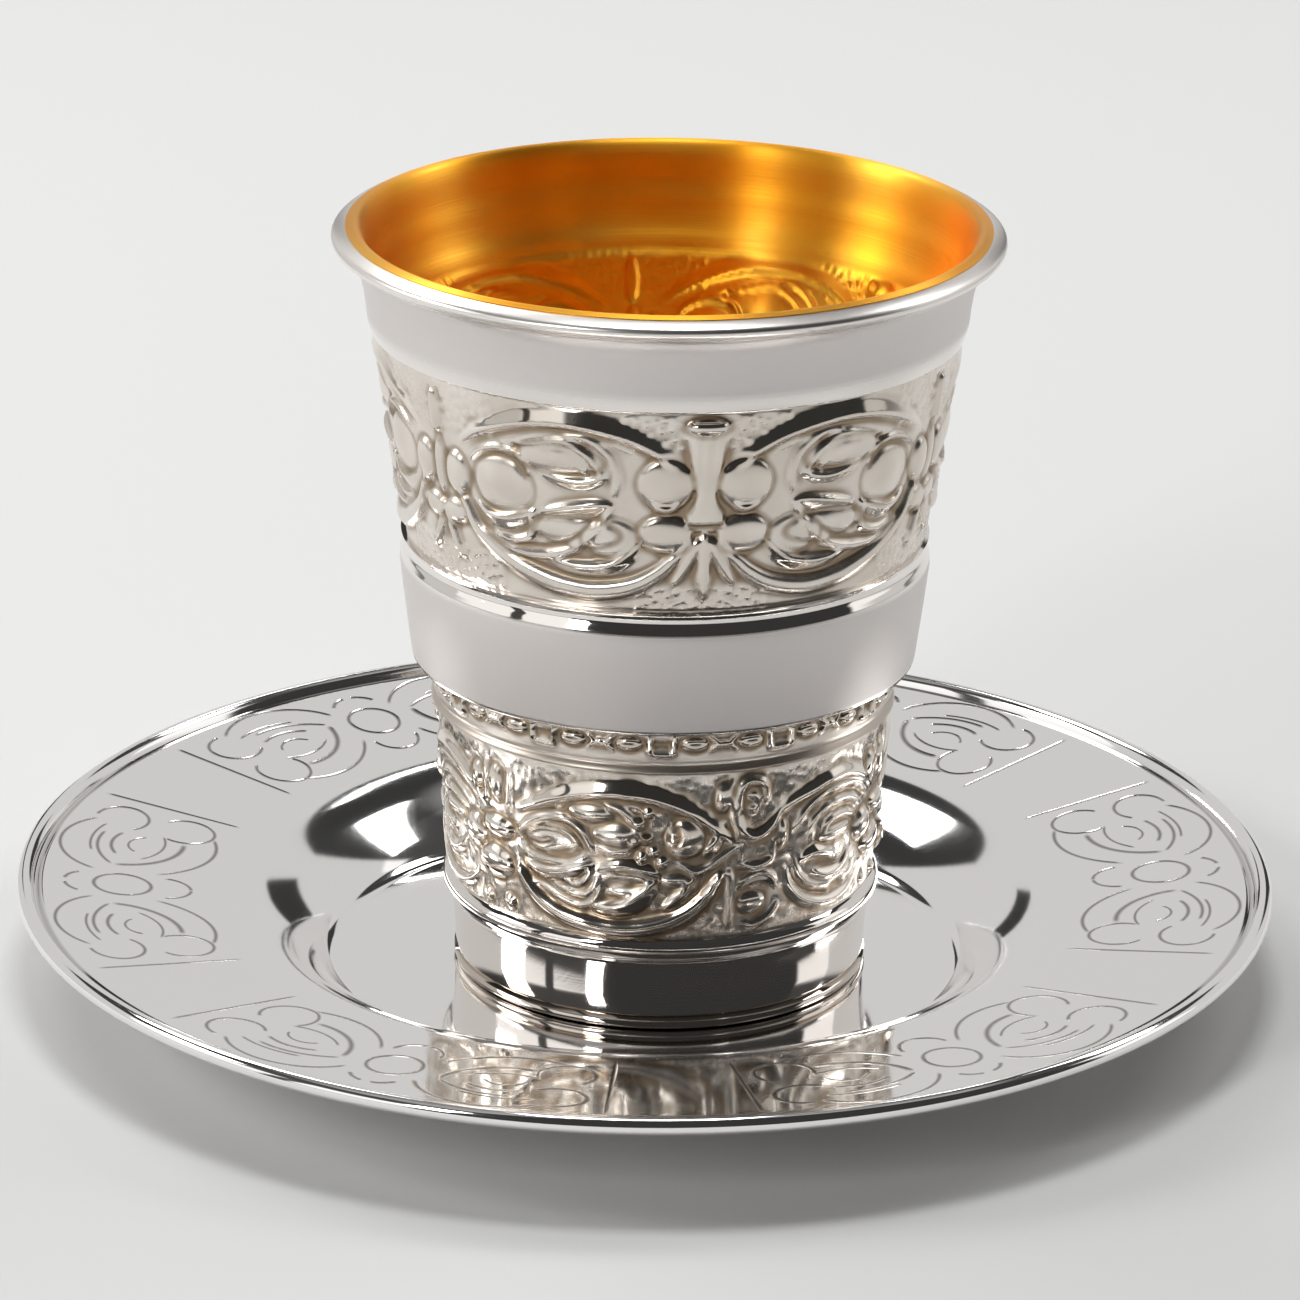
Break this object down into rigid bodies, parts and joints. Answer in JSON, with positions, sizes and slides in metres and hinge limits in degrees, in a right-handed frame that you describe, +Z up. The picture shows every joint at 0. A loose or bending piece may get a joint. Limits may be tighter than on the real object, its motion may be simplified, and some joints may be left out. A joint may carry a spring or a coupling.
{
  "type": "kiddush cup",
  "caption": "Flared silver beaker with chased scroll bands and a gilt inside, standing in the well of a round saucer with a rolled edge.",
  "frame": {"origin": "on the surface that the saucer stands on, under the saucer's centre", "axes": "+Z up along the saucer's axis; -Y is the front; the cup stands a little towards +X of the saucer's centre"},
  "size_m": [0.1342, 0.1342, 0.0821],
  "materials": {
    "silver": "polished sterling silver, satin on the plain bands, darkened in the chased ground",
    "gilt": "bright gilding inside the cup"
  },
  "bodies": {
    "root": {"kiddush_cup": "silver", "saucer": "silver"}
  },
  "joints": []
}
